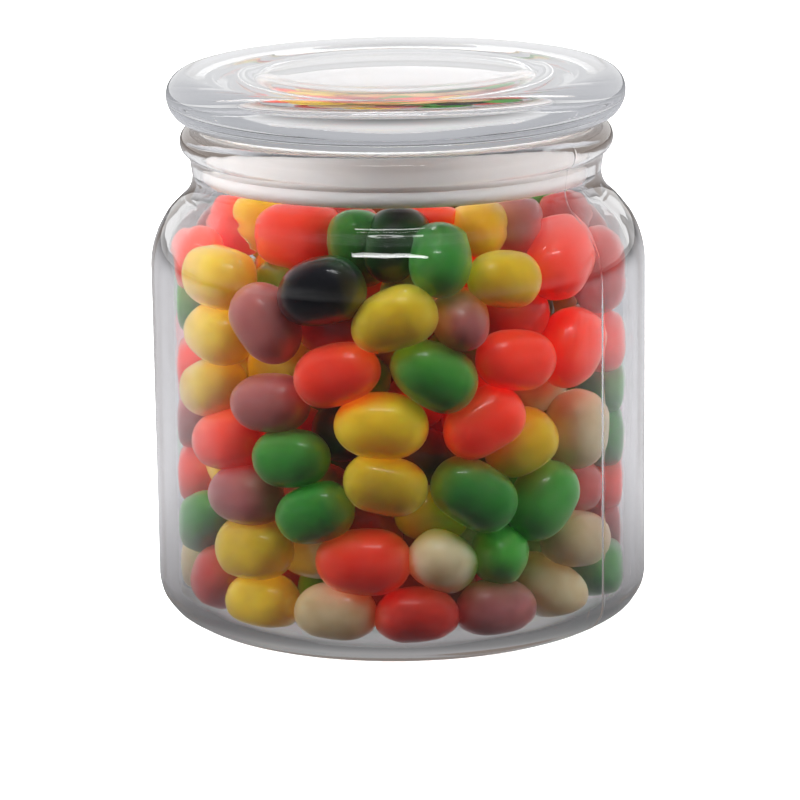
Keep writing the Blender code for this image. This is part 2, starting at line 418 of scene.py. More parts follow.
def jar_section():
    """From the middle of the floor inside, up the bore, over the lip and bead, and down the outside."""
    foot = BODY_R - HEEL - FOOT_WIDTH
    return np.vstack([
        [(0, FLOOR_Z)],
        arc(INNER_R - FLOOR_ROUND, FLOOR_Z + FLOOR_ROUND, FLOOR_ROUND, -90, 0, 14),
        shoulder(INNER_R, INNER_SHOULDER, BORE_R, BORE_ROUND, 16),
        arc(BORE_R + LIP_ROUND, LIP_Z - LIP_ROUND, LIP_ROUND, 180, 90, 6),
        arc(BEAD_R, LIP_Z - BEAD_ROUND, BEAD_ROUND, 90, -68, 20),
        shoulder(BODY_R, SHOULDER_ROUND, NECK_R, NECK_ROUND, 18)[::-1],
        arc(BODY_R - HEEL, HEEL, HEEL, 0, -90, 18),
        [(foot, 0), (foot - 1.5 * MM, 0.2 * PUNT), (foot - 4 * MM, 0.85 * PUNT)],
        [(foot - 6 * MM, PUNT), (0, PUNT)],
    ])


SEAM_ANGLE = math.radians(-90 + 53)
SEAM_WIDTH = 0.5 * MM
SEAM_HEIGHT = 0.16 * MM
DRAWN_RIPPLES = (17, 26, 39)
RIPPLE = 0.012 * MM
BLOWN_WAVE = 0.07 * MM
HEEL_STEP = 3.6 * MM
HEEL_RIPPLE = 0.12 * MM
JAR_COLUMNS = 234
JAR_SPACING = 1.7 * MM


def round_angles(columns):
    """Even angles with a few extra ones across each mould seam, where a fine ridge has to show."""
    even = np.arange(columns) * 2 * np.pi / columns
    across = np.linspace(-2.5, 2.5, 11) * SEAM_WIDTH / BODY_R
    seams = np.concatenate([SEAM_ANGLE + across, SEAM_ANGLE + np.pi + across]) % (2 * np.pi)
    gap = np.abs((even[:, None] - seams + np.pi) % (2 * np.pi) - np.pi).min(axis=1)
    return np.sort(np.concatenate([even[gap > 0.3 * SEAM_WIDTH / BODY_R], seams]))


def seam_ridge(angle, z):
    """Height of the mould's ridge over both seams, lower on the shoulder: exp(-(distance / half width)^2)."""
    off = np.abs((angle - SEAM_ANGLE + np.pi / 2) % np.pi - np.pi / 2) * BODY_R
    worn = 1 - 0.6 * np.clip((z - 68 * MM) / (14 * MM), 0, 1)
    return SEAM_HEIGHT * worn * np.exp(-(2 * off / SEAM_WIDTH) ** 2)


def heel_steps(radius, angle, z):
    """The faint steps of the pressed heel: the push outwards and the push downwards, both negative or none.

    Along the heel's arc the push is -(ripple / 2) (1 + sin(2 pi arc length / step)) sin(2 turn), so it fades
    out at the wall and at the foot. Slow waves of the angle keep the steps from being perfect rings.
    """
    across, down = (radius - (BODY_R - HEEL)) / HEEL, 1 - z / HEEL
    on_heel = (np.hypot(across, down) > 0.95) & (across > 0) & (down > 0)
    turn = np.arctan2(down, across)
    steps = 2 * np.pi * turn * HEEL / HEEL_STEP
    ring = 1 + np.sin(steps + 0.8 * np.sin(3 * angle + 1) + 0.4 * np.sin(7 * angle))
    press = np.where(on_heel, -HEEL_RIPPLE / 2 * ring * np.sin(2 * turn), 0)
    return press * across, press * down


def worked_glass(points):
    """The turned surface with its marks: slow waves and drawn ripples inside, seams and heel steps outside.

    Each wave is a sum of sines of the angle and the height, and moves a point along its radius.
    """
    x, y, z = points.T
    radius = np.hypot(x, y)
    angle = np.arctan2(y, x)
    inner = (radius < INNER_R + 0.4 * MM) & (z > FLOOR_Z + 1 * MM) & (z < LIP_Z - 2 * MM)
    outer = (radius > NECK_R - 0.4 * MM) & (z > 1 * MM) & (z < LIP_Z - 0.3 * MM)
    inner &= radius < np.where(z > 90 * MM, NECK_R - 1 * MM, 1)
    wave = np.sin(3 * angle + 40 * z) + 0.7 * np.sin(5 * angle - 90 * z + 1) + 0.5 * np.sin(120 * z + angle)
    drawn = sum(np.sin(k * angle + 25 * z * (-1) ** k + k) for k in DRAWN_RIPPLES)
    push = np.where(inner, BLOWN_WAVE * wave + RIPPLE * drawn, 0)
    push = push + np.where(outer & ~inner, seam_ridge(angle, z), 0)
    outwards, downwards = heel_steps(radius, angle, z)
    scale = 1 + (push + outwards) / np.maximum(radius, 1 * MM)
    return np.stack([x * scale, y * scale, z - downwards], axis=1)


# %% [markdown]
# ## Clear pressed glass
#
# Soda-lime glass bends light by 1.52 and is a little grey through its depth.
# A glass shader alone would leave the candy in the dark, because a renderer
# can't find the lamps through bent surfaces. So rays towards the lamps go
# straight through, and only what the eye follows is bent.

# %% Clear pressed glass
MIRROR_COST = 3.0
TURNS_FOLLOWED = 8.5


def clear_glass(name, tint, depth_tint, density, trapped_glow_colour):
    """Soda-lime glass: index 1.52, quite smooth, and slightly grey through its thickness.

    Rays towards the lamps pass straight through, so what is inside is lit
    without waiting for light to find its way. Light that has been mirrored
    three times, or has turned at nine surfaces, is followed no further. It
    shows a painted glow instead: an even emitted tone, chosen to pass for the
    glass round it, that stands in for the light it would have brought.
    """
    material, tree, output = new_material(name)
    glass = add(tree, "ShaderNodeBsdfPrincipled", {
        "Base Color": linear(tint), "Roughness": 0.0, "IOR": 1.52, "Transmission Weight": 1.0})
    passing = add(tree, "ShaderNodeBsdfTransparent", {"Color": linear("#f2f4f4")})
    path = add(tree, "ShaderNodeLightPath")
    mirrored = add(tree, "ShaderNodeMath", {
        0: path.outputs["Glossy Depth"], 1: MIRROR_COST}, operation="MULTIPLY")
    turns = add(tree, "ShaderNodeMath", {
        0: mirrored.outputs[0], 1: path.outputs["Ray Depth"]}, operation="MAXIMUM")
    trapped = add(tree, "ShaderNodeMath", {
        0: turns.outputs[0], 1: TURNS_FOLLOWED}, operation="GREATER_THAN")
    # Painted glow: an even emission that stands in for the light of rays followed no further.
    painted_glow = add(tree, "ShaderNodeEmission", {"Color": linear(trapped_glow_colour), "Strength": 1.0})
    bending = add(tree, "ShaderNodeMixShader", {
        0: trapped.outputs[0], 1: glass.outputs[0], 2: painted_glow.outputs[0]})
    both = add(tree, "ShaderNodeMixShader", {
        0: path.outputs["Is Shadow Ray"], 1: bending.outputs[0], 2: passing.outputs[0]})
    depth = add(tree, "ShaderNodeVolumeAbsorption", {"Color": linear(depth_tint), "Density": density})
    tree.links.new(both.outputs[0], output.inputs["Surface"])
    tree.links.new(depth.outputs[0], output.inputs["Volume"])
    return material


# The last colour is the painted glow that stands in for light trapped in the jar's glass.
jar_glass = clear_glass("soda_lime_jar_glass", "#f5f5f6", "#cfd2d5", 8, "#8c8078")
points, faces = turned(evened(jar_section(), JAR_SPACING), round_angles(JAR_COLUMNS))
jar = new_piece("glass_jar", worked_glass(points), faces, jar_glass)
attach(jar, "root")
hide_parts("jar")
print("jar:", len(points), "points")

# %% [markdown]
# ## The lid
#
# The lid is pressed from one thick gob of glass: a rounded rim, a shallow
# dish in the top and a hollow plug below. Its roundness is what makes it a
# lens, so every corner is an arc.

# %% Lid
LID_UNDER = SEAL_TOP + GAP
RIM_ROUND = (LID_TOP - LID_UNDER) * 0.47
RIM_Z = LID_UNDER + 5.85 * MM
PLUG_R = 39 * MM
PLUG_WALL = 4.5 * MM
CEILING = 113 * MM
CEILING_ROUND = 5 * MM
DISH_R = 27 * MM
DISH_DEPTH = 0.5 * MM
CREST_R = 32 * MM
CREST_FALL = 0.45 * MM
PLUG_ROUND = 1.2 * MM
LID_COLUMNS = 160
LID_SPACING = 2.5 * MM


def lid_section():
    """From the middle of the dished top, over the rim, under it, round the plug and up to its ceiling."""
    dish = LID_TOP - DISH_DEPTH
    t = np.linspace(0, 1, 18)
    rise = DISH_DEPTH * (3 * t ** 2 - 2 * t ** 3)
    step = np.stack([DISH_R + (CREST_R - DISH_R) * t, dish + rise], axis=1)
    crest = np.linspace(0, 1, 12)[1:]
    rim_x = LID_R - RIM_ROUND
    fall = np.stack([CREST_R + (rim_x - CREST_R) * crest, LID_TOP - CREST_FALL * crest ** 1.6], axis=1)
    up, down = np.radians(np.linspace(90, 0, 18))[1:], np.radians(np.linspace(0, -90, 18))[1:]
    high, low = LID_TOP - CREST_FALL - RIM_Z, RIM_Z - LID_UNDER
    upper = np.stack([rim_x + RIM_ROUND * np.cos(up), RIM_Z + high * np.sin(up)], axis=1)
    lower = np.stack([rim_x + RIM_ROUND * np.cos(down), RIM_Z + low * np.sin(down)], axis=1)
    inner = PLUG_R - PLUG_WALL
    return np.vstack([
        [(0, dish)], step, fall, upper, lower,
        [(PLUG_R, LID_UNDER)],
        arc(PLUG_R - PLUG_ROUND, PLUG_BOTTOM + PLUG_ROUND, PLUG_ROUND, 0, -90, 8),
        arc(inner + PLUG_ROUND, PLUG_BOTTOM + PLUG_ROUND, PLUG_ROUND, -90, -180, 8),
        arc(inner - CEILING_ROUND, CEILING - CEILING_ROUND, CEILING_ROUND, 0, 90, 14),
        [(0, CEILING)],
    ])


# The last colour is the painted glow that stands in for light trapped in the lid's glass.
lid_glass = clear_glass("soda_lime_lid_glass", "#f5f5f6", "#cfd2d5", 8, "#cccdd1")
round_lid = np.arange(LID_COLUMNS) * 2 * np.pi / LID_COLUMNS
points, faces = turned(evened(lid_section(), LID_SPACING), round_lid)
lid = new_piece("glass_lid", points, faces, lid_glass)
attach(lid, "root")
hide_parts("lid")
print("lid:", len(points), "points")

# %% [markdown]
# ## The seal ring
#
# A soft, milky plastic ring is stretched over the plug. Three ribs press on
# the bore, and a thin flange keeps glass from chinking on glass.

# %% Seal ring
FLANGE = 0.6 * MM
FLANGE_R = 43 * MM
SLEEVE_R = 40.3 * MM
RIBS = 3
RIB_HEIGHT = 0.9 * MM
SEAL_COLUMNS = 144


def seal_section():
    """A closed outline: the flange, three rounded ribs down the outside, and the plain inside."""
    under = SEAL_TOP - FLANGE
    t = np.linspace(0, 1, 61)
    ribs = SLEEVE_R + RIB_HEIGHT * np.clip(np.sin(np.pi * ((RIBS * t) % 1)), 0, 1) ** 0.8
    side = np.stack([ribs, under + (SEAL_BOTTOM - under) * t], axis=1)
    inside = PLUG_R + GAP
    return np.vstack([
        [(FLANGE_R, SEAL_TOP), (FLANGE_R, under)], side,
        [(inside, SEAL_BOTTOM), (inside, SEAL_TOP)],
    ])


def milky_plastic():
    """Soft polyethylene, as moulded: clouded through its body, so light scatters in it and leaves pale."""
    material, tree, output = new_material("milky_polyethylene")
    shader = add(tree, "ShaderNodeBsdfPrincipled", {
        "Base Color": linear("#e4dcda"), "Roughness": 0.35, "IOR": 1.5,
        "Subsurface Weight": 1.0, "Subsurface Radius": (1.0, 0.95, 0.9), "Subsurface Scale": 4 * MM})
    tree.links.new(shader.outputs[0], output.inputs["Surface"])
    return material


round_seal = np.arange(SEAL_COLUMNS) * 2 * np.pi / SEAL_COLUMNS
points, faces = turned(seal_section(), round_seal, closed=True)
seal = new_piece("seal_ring_ribbed", points, faces, milky_plastic())
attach(seal, "root")
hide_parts("seal_ring")
print("seal ring:", len(points), "points")

# %% [markdown]
# ## What a jelly bean is
#
# A jelly bean is a starch jelly moulded in a hollow, then tumbled in sugar
# syrup until a thin hard shell builds up, and polished with wax. The mould
# gives a short rounded barrel. The tumbling makes every bean a little bent,
# tapered and dented, and no two alike.
#
# One way to fill a jar is to copy one bean hundreds of times, but identical
# beans look printed. So each bean is worked out afresh from a rounded cage
# of only 54 squares, and a Subdivision Surface modifier makes it smooth.

# %% The cage of one bean
CAGE_CELLS = 3
CAGE_LEVELS = 2
CAGE_SHRINK = 1.052


def cube_cage(cells):
    """A cube's six sides cut by evenly turned lines, tan(angle), and every point pushed to a unit sphere."""
    ticks = np.tan(np.linspace(-np.pi / 4, np.pi / 4, cells + 1))
    u, v = np.meshgrid(ticks, ticks, indexing="ij")
    one = np.ones_like(u)
    sides = (np.stack([one, u, v], axis=-1), np.stack([-one, v, u], axis=-1))
    cube = np.concatenate([
        np.roll(side, turn, axis=-1).reshape(-1, 3) for side in sides for turn in range(3)])
    points, place = np.unique(np.round(cube, 6), axis=0, return_inverse=True)
    grid = place.reshape(6, cells + 1, cells + 1)
    quads = np.stack([grid[:, :-1, :-1], grid[:, 1:, :-1], grid[:, 1:, 1:], grid[:, :-1, 1:]], axis=-1)
    return points / np.linalg.norm(points, axis=1, keepdims=True), quads.reshape(-1, 4)


def bean_shapes(directions, half_sizes, random):
    """Every bean in its own frame, X along it, as (beans, cage points, 3).

    Along the unit direction u the surface stands (|ux/a|^p + |uy/b|^p + |uz/c|^p)^(-1/p) from the middle,
    where p = 2 is an egg and a larger p a barrel. A slow wave of a few percent dents the whole. Then one end
    is made thicker by 1 + taper x/a, and the ends are bent by bend ((x/a)^2 - 0.4). CAGE_SHRINK makes up for
    what the subdivision takes off.
    """
    count = len(half_sizes)
    power = random.uniform(2.3, 3.0, (count, 1))
    spread = np.abs(directions[None] / half_sizes[:, None, :]) ** power[..., None]
    reach = spread.sum(axis=2) ** (-1 / power)
    turns = random.normal(0, 1.6, (count, 3, 3))
    phases = random.uniform(0, 2 * np.pi, (count, 1, 3))
    dents = np.sin(np.einsum("pk,nkj->npj", directions, turns) + phases).sum(axis=2)
    shape = directions[None] * (reach * (1 + 0.018 * dents))[..., None]
    along = shape[..., 0] / half_sizes[:, :1]
    taper = random.normal(0, 0.055, (count, 1))
    bend = random.uniform(-0.2, 0.5, (count, 1)) * 1.6 * MM
    shape[..., 1:] *= (1 + taper * along)[..., None]
    shape[..., 1] += bend * (along ** 2 - 0.4)
    return shape * CAGE_SHRINK


CAGE, CAGE_FACES = cube_cage(CAGE_CELLS)
print("one bean has", len(CAGE), "points and", len(CAGE_FACES), "squares")

# %% [markdown]
# ## Filling the jar
#
# The beans that show best from the front, most of them against the glass, are
# set out one by one, as a list of azimuth, height and lean on the unrolled wall.
# All the others are poured: beans are thrown in at random places and then
# pushed apart. For this each bean is a capsule, a short line with a radius,
# because the nearest points of two lines are quick to find.

# %% Beans set one by one at the front
BEAN_LENGTH = 18.3 * MM
BEAN_WIDTH = 12.4 * MM
BEAN_R = BEAN_WIDTH / 2
AT_WALL = (INNER_R - BEAN_R) / MM

# Each row: azimuth from the front in degrees, height in mm, then as far as needed lean in degrees,
# distance from the axis in mm, swing away from the wall in degrees, and size.
FRONT_BEANS = {
    "coral": [
        (-85, 85, 20, 38), (-80, 80, 10), (-34, 86, 3, 39, 0, 1.22), (-16, 61, 20), (-54, 44, 20),
        (-85, 31), (88, 27), (82, 59), (22, 52, 5), (31, 63, 5), (50, 83, 85, 42, 0, 1.1), (-90, 54),
        (-9, 20, -5, 44.4, 0, 1.12),
    ],
    "red": [
        (-23, 91, 0, 33), (-25, 69, 0, 36), (-64, 11, 70), (-1, 12, 0, 40), (4, 11, 10), (61, 30, 0, 41),
        (43, 72, 0, 38), (76, 77, 80, 44), (88, 72, 85), (85, 86, 0, 39, 0, 0.85),
    ],
    "orange": [(52, 63, 60), (15, 91, 0, 34)],
    "yellow": [
        (-64, 92, 0, 30), (-56, 76.5, 15), (-58, 66.5, -35), (0, 74, 3), (-61, 54, 10), (-42, 59, 0, 36),
        (-68, 35, 0, 40, 0, 0.85), (-5, 51, 10, 44.4, 0, 1.12), (-6, 40, -30), (-44, 22, 15), (-41, 11, -5),
        (35, 43, 15, 42), (25, 78, 20, 42.5, 0, 0.9), (30, 90, 0, 34), (12, 29, 0, 38),
    ],
    "green": [
        (-12, 85, 80, 38), (-45, 80, 0, 34, 0, 0.85), (-31, 42, 4), (-22, 31, -5), (-71, 23, 30),
        (27, 21, 0, 44.4, 60), (75, 11), (41, 31, 65), (21, 35, -40, 44.4, 0, 1.1), (86, 39), (88, 47),
        (10, 62, -60, 44.4, 0, 1.1), (8, 84, 80, 41, 50),
    ],
    "purple": [
        (-39, 73, -30), (-37, 54), (-88, 41), (-46, 33, -60), (24, 11, 10), (88, 19, 80),
        (18, 74, 0, 44.4, 60), (42, 89, 0, 36),
    ],
    "black": [(-17.5, 79.5, 12, 43.5, 0, 1.1), (-2, 90, 90, 36), (-100, 19)],
    "cream": [
        (-88, 11), (-34, 20, 0, 34), (-16, 10, 3), (10, 20, 0, 44.4, 60), (48, 11, 90, 44.4, 40),
        (54, 21, 15), (56, 45, 80), (53, 54, 0, 36),
    ],
}
KINDS = list(FRONT_BEANS)


def set_by_hand():
    """The rows as middles, axes, sizes and kinds.

    At azimuth f the wall's tangent is t = (cos f, sin f, 0) and its inward normal n = (-sin f, cos f, 0). The
    bean's axis is cos(swing) (cos(lean) t + sin(lean) z) + sin(swing) n.
    """
    usual = (0, 0, 0, AT_WALL, 0, 1)
    rows = np.array([row + usual[len(row):] for kind in KINDS for row in FRONT_BEANS[kind]], dtype=float)
    kinds = np.repeat(np.arange(len(KINDS)), [len(FRONT_BEANS[kind]) for kind in KINDS])
    azimuth, lean, swing = np.radians(rows[:, [0, 2, 4]].T)
    zero = 0 * azimuth
    tangent = np.stack([np.cos(azimuth), np.sin(azimuth), zero], axis=1)
    inward = np.stack([-np.sin(azimuth), np.cos(azimuth), zero], axis=1)
    upward = np.array([0, 0, 1.0])
    flat = np.cos(lean)[:, None] * tangent + np.sin(lean)[:, None] * upward
    axes = np.cos(swing)[:, None] * flat + np.sin(swing)[:, None] * inward
    middles = -inward * rows[:, 3:4] + upward * rows[:, 1:2]
    return middles * MM, axes, rows[:, 5], kinds


# %% [markdown]
# ## Pouring
#
# The back, and what the listed beans leave free of the second layer and the
# top, is thrown in at random, wherever the wall, the floor's edge and the
# shoulder leave room. The shares of colour are about those of the front, with
# a few more orange ones.

# %% Room in the jar and random places
CORE_R = 21 * MM
CORE_TOP = 78 * MM
HEAP_TOP = 94 * MM
SECOND_LAYER = 35 * MM
POUR_SHARES = {
    "coral": 5, "red": 5, "orange": 3, "yellow": 6, "green": 6, "purple": 4, "black": 1.5, "cream": 4}


def room_inside(height, margin):
    """How far from the axis a ball of radius margin may lie: the wall's radius less margin.

    Above and below the straight wall the ball follows the arcs of the shoulder and of the floor's edge.
    """
    above = np.clip((height - SHOULDER_Z) / (INNER_SHOULDER - margin), 0, 0.98)
    shoulder_room = (INNER_SHOULDER - margin) * (1 - np.sqrt(1 - above ** 2))
    turn = np.maximum(FLOOR_ROUND - margin, 0.1 * MM)
    below = np.clip((FLOOR_Z + FLOOR_ROUND - height) / turn, 0, 1)
    floor_room = turn * (1 - np.sqrt(1 - below ** 2))
    return INNER_R - margin - shoulder_room - floor_room


def thrown_in(random, taken, wanted, clearance):
    """Random middles between the core and the wall, each at least clearance from all those before it.

    In front, where the wall's layer is listed, they stay in the layers behind it.
    """
    middles = list(taken)
    for _ in range(60 * wanted):
        if len(middles) >= len(taken) + wanted:
            break
        height = random.uniform(FLOOR_Z + BEAN_R, HEAP_TOP - BEAN_R)
        low = (CORE_R + 0.7 * BEAN_R) if height < CORE_TOP + BEAN_R else 0.0
        radius = np.sqrt(random.uniform(low ** 2, float(room_inside(height, BEAN_R)) ** 2))
        angle = random.uniform(0, 2 * np.pi)
        middle = np.array([radius * np.cos(angle), radius * np.sin(angle), height])
        if middle[1] < 0 and radius > SECOND_LAYER:
            continue
        if np.linalg.norm(np.array(middles) - middle, axis=1).min() > clearance:
            middles.append(middle)
    return np.array(middles[len(taken):])


# %% [markdown]
# ## Settling
#
# Beans thrown in at random run into each other. In each of some hundred
# rounds, every pair that overlaps is pushed a little apart where their lines
# come nearest, so they turn as well as move, as they do when a jar is tapped.
# Some overlap is left: mostly under half a millimetre, but up to nearly 4 mm
# between a few listed ones near the top, which are drawn back to their spots.

# %% Settling
ROUNDS = 320
SHARE_UNDONE = 0.45
SINKING = 0.03 * MM
DRAWN_HOME = 0.08
NEAR_WALL = 6 * MM


def nearest_on_lines(a, along_a, b, along_b):
    """Where two short lines come nearest, as shares 0 to 1 along each: the least-squares answer, clipped."""
    gap = a - b
    aa, bb, ab = (np.einsum("ij,ij->i", p, q) for p, q in (
        (along_a, along_a), (along_b, along_b), (along_a, along_b)))
    ag, bg = np.einsum("ij,ij->i", along_a, gap), np.einsum("ij,ij->i", along_b, gap)
    s = np.clip((ab * bg - ag * bb) / np.maximum(aa * bb - ab ** 2, 1e-12), 0, 1)
    t = np.clip((ab * s + bg) / bb, 0, 1)
    return np.clip((ab * t - ag) / aa, 0, 1), t


def kept_inside(ends, radius, on_wall):
    """Hold capsule ends between the floor, the wall, the heap's top and the core.

    Where on_wall is 1, a bean is also drawn outwards by 0.15 of the room left between it and the wall.
    """
    x, y, z = ends.transpose(2, 0, 1)
    z = np.clip(z, FLOOR_Z + radius, HEAP_TOP + 1 * MM - radius)
    across = np.hypot(x, y)
    most = room_inside(z, radius)
    least = np.where(z < CORE_TOP + radius, CORE_R + 0.6 * radius, 0)
    held = np.clip(across + on_wall * 0.15 * (most - across), least, most)
    scale = held / np.maximum(across, 1e-6)
    return np.stack([x * scale, y * scale, z], axis=-1)


def settle(middles, axes, sizes, loose):
    """Push overlapping capsules apart, a little each round, and pull the listed ones back to their spots.

    loose is 1 for poured beans and 0 for listed ones. Overlaps are shared out by how freely each moves.
    """
    radius = (BEAN_R * sizes)[:, None]
    half = (BEAN_LENGTH / 2 * sizes - BEAN_R * sizes)[:, None]
    ends = np.stack([middles - axes * half, middles + axes * half], axis=1)
    home = ends.copy()
    first, second = np.triu_indices(len(middles), 1)
    freedom = 0.25 + 0.75 * loose
    wall = room_inside(middles[:, 2], BEAN_R) - np.hypot(*middles[:, :2].T) < NEAR_WALL
    on_wall = (wall & (loose > 0.5)).astype(float)[:, None]
    deepest = 0.0
    for step in range(ROUNDS):
        middle = ends.mean(axis=1)
        near = np.linalg.norm(middle[first] - middle[second], axis=1) < 1.15 * BEAN_LENGTH
        i, j = first[near], second[near]
        along_i, along_j = ends[i, 1] - ends[i, 0], ends[j, 1] - ends[j, 0]
        s, t = nearest_on_lines(ends[i, 0], along_i, ends[j, 0], along_j)
        apart = ends[i, 0] + s[:, None] * along_i - ends[j, 0] - t[:, None] * along_j
        distance = np.maximum(np.linalg.norm(apart, axis=1), 1e-6)
        overlap = np.maximum(radius[i, 0] + radius[j, 0] - distance, 0)
        push = apart / distance[:, None] * overlap[:, None] * SHARE_UNDONE
        share = freedom[i] / (freedom[i] + freedom[j])
        move = np.zeros_like(ends)
        for end, part_i, part_j in ((0, 1 - s, 1 - t), (1, s, t)):
            np.add.at(move[:, end], i, push * (share * (0.4 + 1.2 * part_i))[:, None])
            np.add.at(move[:, end], j, -push * ((1 - share) * (0.4 + 1.2 * part_j))[:, None])
        ends = ends + move
        ends[..., 2] -= SINKING * loose[:, None]
        ends += DRAWN_HOME * (1 - loose)[:, None, None] * (home - ends)
        ends = kept_inside(ends, radius, on_wall)
        middle = ends.mean(axis=1)
        axis = ends[:, 1] - ends[:, 0]
        axis /= np.linalg.norm(axis, axis=1, keepdims=True)
        ends = np.stack([middle - axis * half, middle + axis * half], axis=1)
        deepest = overlap.max() / MM if len(overlap) else 0.0
    print("after", ROUNDS, "rounds the deepest overlap is", round(float(deepest), 2), "mm")
    return ends.mean(axis=1), axis


def filled_jar(seed, wanted):
    """Middles, axes, sizes and kinds of every bean in the jar, the listed ones first."""
    random = np.random.default_rng(seed)
    middles, axes, sizes, kinds = set_by_hand()
    by_hand = len(middles)
    poured = thrown_in(random, middles, wanted, 0.8 * BEAN_WIDTH)
    count = len(poured)
    turned_any = random.normal(0, 1, (count, 3))
    turned_any[:, 2] *= 0.6
    turned_any /= np.linalg.norm(turned_any, axis=1, keepdims=True)
    shares = np.array([POUR_SHARES[kind] for kind in KINDS])
    middles = np.vstack([middles, poured])
    axes = np.vstack([axes, turned_any])
    sizes = np.concatenate([sizes, random.uniform(0.9, 1.07, count)])
    kinds = np.concatenate([kinds, random.choice(len(KINDS), count, p=shares / shares.sum())])
    loose = (np.arange(len(middles)) >= by_hand).astype(float)
    middles, axes = settle(middles, axes, sizes, loose)
    print(by_hand, "beans set by hand and", count, "poured")
    return middles, axes, sizes, kinds


POUR_SEED = 11
POURED = 155
bean_middles, bean_axes, bean_sizes, bean_kinds = filled_jar(POUR_SEED, POURED)

# %% [markdown]
# ## The shells' finish
#
# The shell is boiled sugar with food dye, polished with carnauba wax: a
# satin gloss over a jelly that lets light in and out again, so the shaded
# side of a bean never goes quite dead. Dye varies from bean to bean and pan
# to pan, the jelly is a little cloudy, and a thin bloom of wax and sugar
# softens each shell. Subsurface scattering and a little rough transmission
# give most of that. Lamp light also goes on through each bean in the bean's
# own colour, so the beans behind are lit through those in front.

# %% Polished sugar shell
# For each kind: the dye at its palest and at its deepest, how much light goes in, and the light let through.
DYES = {
    "coral": ("#f4482c", "#e0321c", 1.0, "#f09680"),
    "red": ("#c02a1c", "#92180e", 1.0, "#c86450"),
    "orange": ("#fc3c0a", "#e43004", 1.0, "#f89058"),
    "yellow": ("#e6c826", "#a48c12", 1.0, "#f0d884"),
    "green": ("#429634", "#1f7026", 0.95, "#8cc688"),
    "purple": ("#ae6a68", "#86484c", 0.95, "#c49c9c"),
    "black": ("#0a0a10", "#050508", 0.0, "#18161c"),
    "cream": ("#cfc4a4", "#9a8058", 1.0, "#dccaa8"),
}
SHELL_ROUGHNESS = 0.3
CLOUD_SIZE = 7 * MM
BLOOM_SIZE = 4.5 * MM
BLOOM_SHARE = 0.028
DIMPLE_SIZE = 2.0 * MM


def sugar_shell(kind):
    """Panned and polished sugar over jelly: satin, translucent, each bean's dye by its own tone attribute.

    A kind that no light enters, as black, has no bloom, no sheen and no transmission.
    """
    pale, deep, entering, passing = DYES[kind]
    material, tree, output = new_material("polished_sugar_shell_" + kind)
    place = add(tree, "ShaderNodeTexCoord")
    tone = add(tree, "ShaderNodeAttribute", attribute_name="tone")
    painted_bleed_colour = add(tree, "ShaderNodeAttribute", attribute_name="painted_bleed_colour")
    painted_bleed_share = add(tree, "ShaderNodeAttribute", attribute_name="painted_bleed_share")
    cloud = add(tree, "ShaderNodeTexNoise", {
        "Vector": place.outputs["Object"], "Scale": 1 / CLOUD_SIZE, "Detail": 2.0, "Distortion": 0.6})
    bloom = add(tree, "ShaderNodeTexNoise", {
        "Vector": place.outputs["Object"], "Scale": 1 / BLOOM_SIZE, "Detail": 0.0})
    dimples = add(tree, "ShaderNodeTexNoise", {
        "Vector": place.outputs["Object"], "Scale": 1 / DIMPLE_SIZE, "Detail": 1.0})
    shade = add(tree, "ShaderNodeMath", {
        0: cloud.outputs["Fac"], 1: 1.1, 2: tone.outputs["Fac"]}, operation="MULTIPLY_ADD")
    dye = add(tree, "ShaderNodeMapRange", {0: shade.outputs[0], 1: 0.25, 2: 1.85})
    colour = add(tree, "ShaderNodeMix", {
        "Factor": dye.outputs[0], 6: linear(deep), 7: linear(pale)}, data_type="RGBA")
    # Painted light: where beans touch, the neighbours' colour is mixed in for light that passes between them.
    with_painted_bleed = add(tree, "ShaderNodeMix", {
        "Factor": painted_bleed_share.outputs["Fac"], 6: colour.outputs[2], 7: painted_bleed_colour.outputs["Color"]}, data_type="RGBA")
    dust = add(tree, "ShaderNodeMapRange", {
        0: bloom.outputs["Fac"], 1: 0.1, 2: 0.9, 3: 0.0, 4: BLOOM_SHARE if entering else 0.0})
    bloomed = add(tree, "ShaderNodeMix", {
        "Factor": dust.outputs[0], 6: with_painted_bleed.outputs[2], 7: linear("#f4ece0")}, data_type="RGBA")
    relief = add(tree, "ShaderNodeBump", {
        "Strength": 0.35, "Distance": 0.1 * MM, "Height": dimples.outputs["Fac"]})
    shell = add(tree, "ShaderNodeBsdfPrincipled", {
        "Base Color": bloomed.outputs[2], "Roughness": SHELL_ROUGHNESS, "IOR": 1.48,
        "Transmission Weight": 0.3 if entering else 0.0,
        "Subsurface Weight": entering, "Subsurface Radius": (1.0, 0.7, 0.5), "Subsurface Scale": 14 * MM,
        "Sheen Weight": 0.5 if entering else 0.0, "Sheen Roughness": 0.3, "Sheen Tint": linear(passing),
        "Coat Weight": 0.8, "Coat Roughness": 0.07, "Normal": relief.outputs[0]})
    through = add(tree, "ShaderNodeBsdfTransparent", {"Color": linear(passing)})
    path = add(tree, "ShaderNodeLightPath")
    both = add(tree, "ShaderNodeMixShader", {
        0: path.outputs["Is Shadow Ray"], 1: shell.outputs[0], 2: through.outputs[0]})
    tree.links.new(both.outputs[0], output.inputs["Surface"])
    return material


# %% [markdown]
# ## Where beans touch
#
# Light that goes through one translucent bean into the next tints it where
# they touch. Following light through both would be slow and noisy, so that
# tint is painted light: each point is told what colour lies near it, and how
# near, by two attributes that the shader mixes into the bean's colour.

# %% Painted light: colour that shows through where beans touch
BLEED_REACH = 2.6 * MM
BLEED_SHARE = 0.22


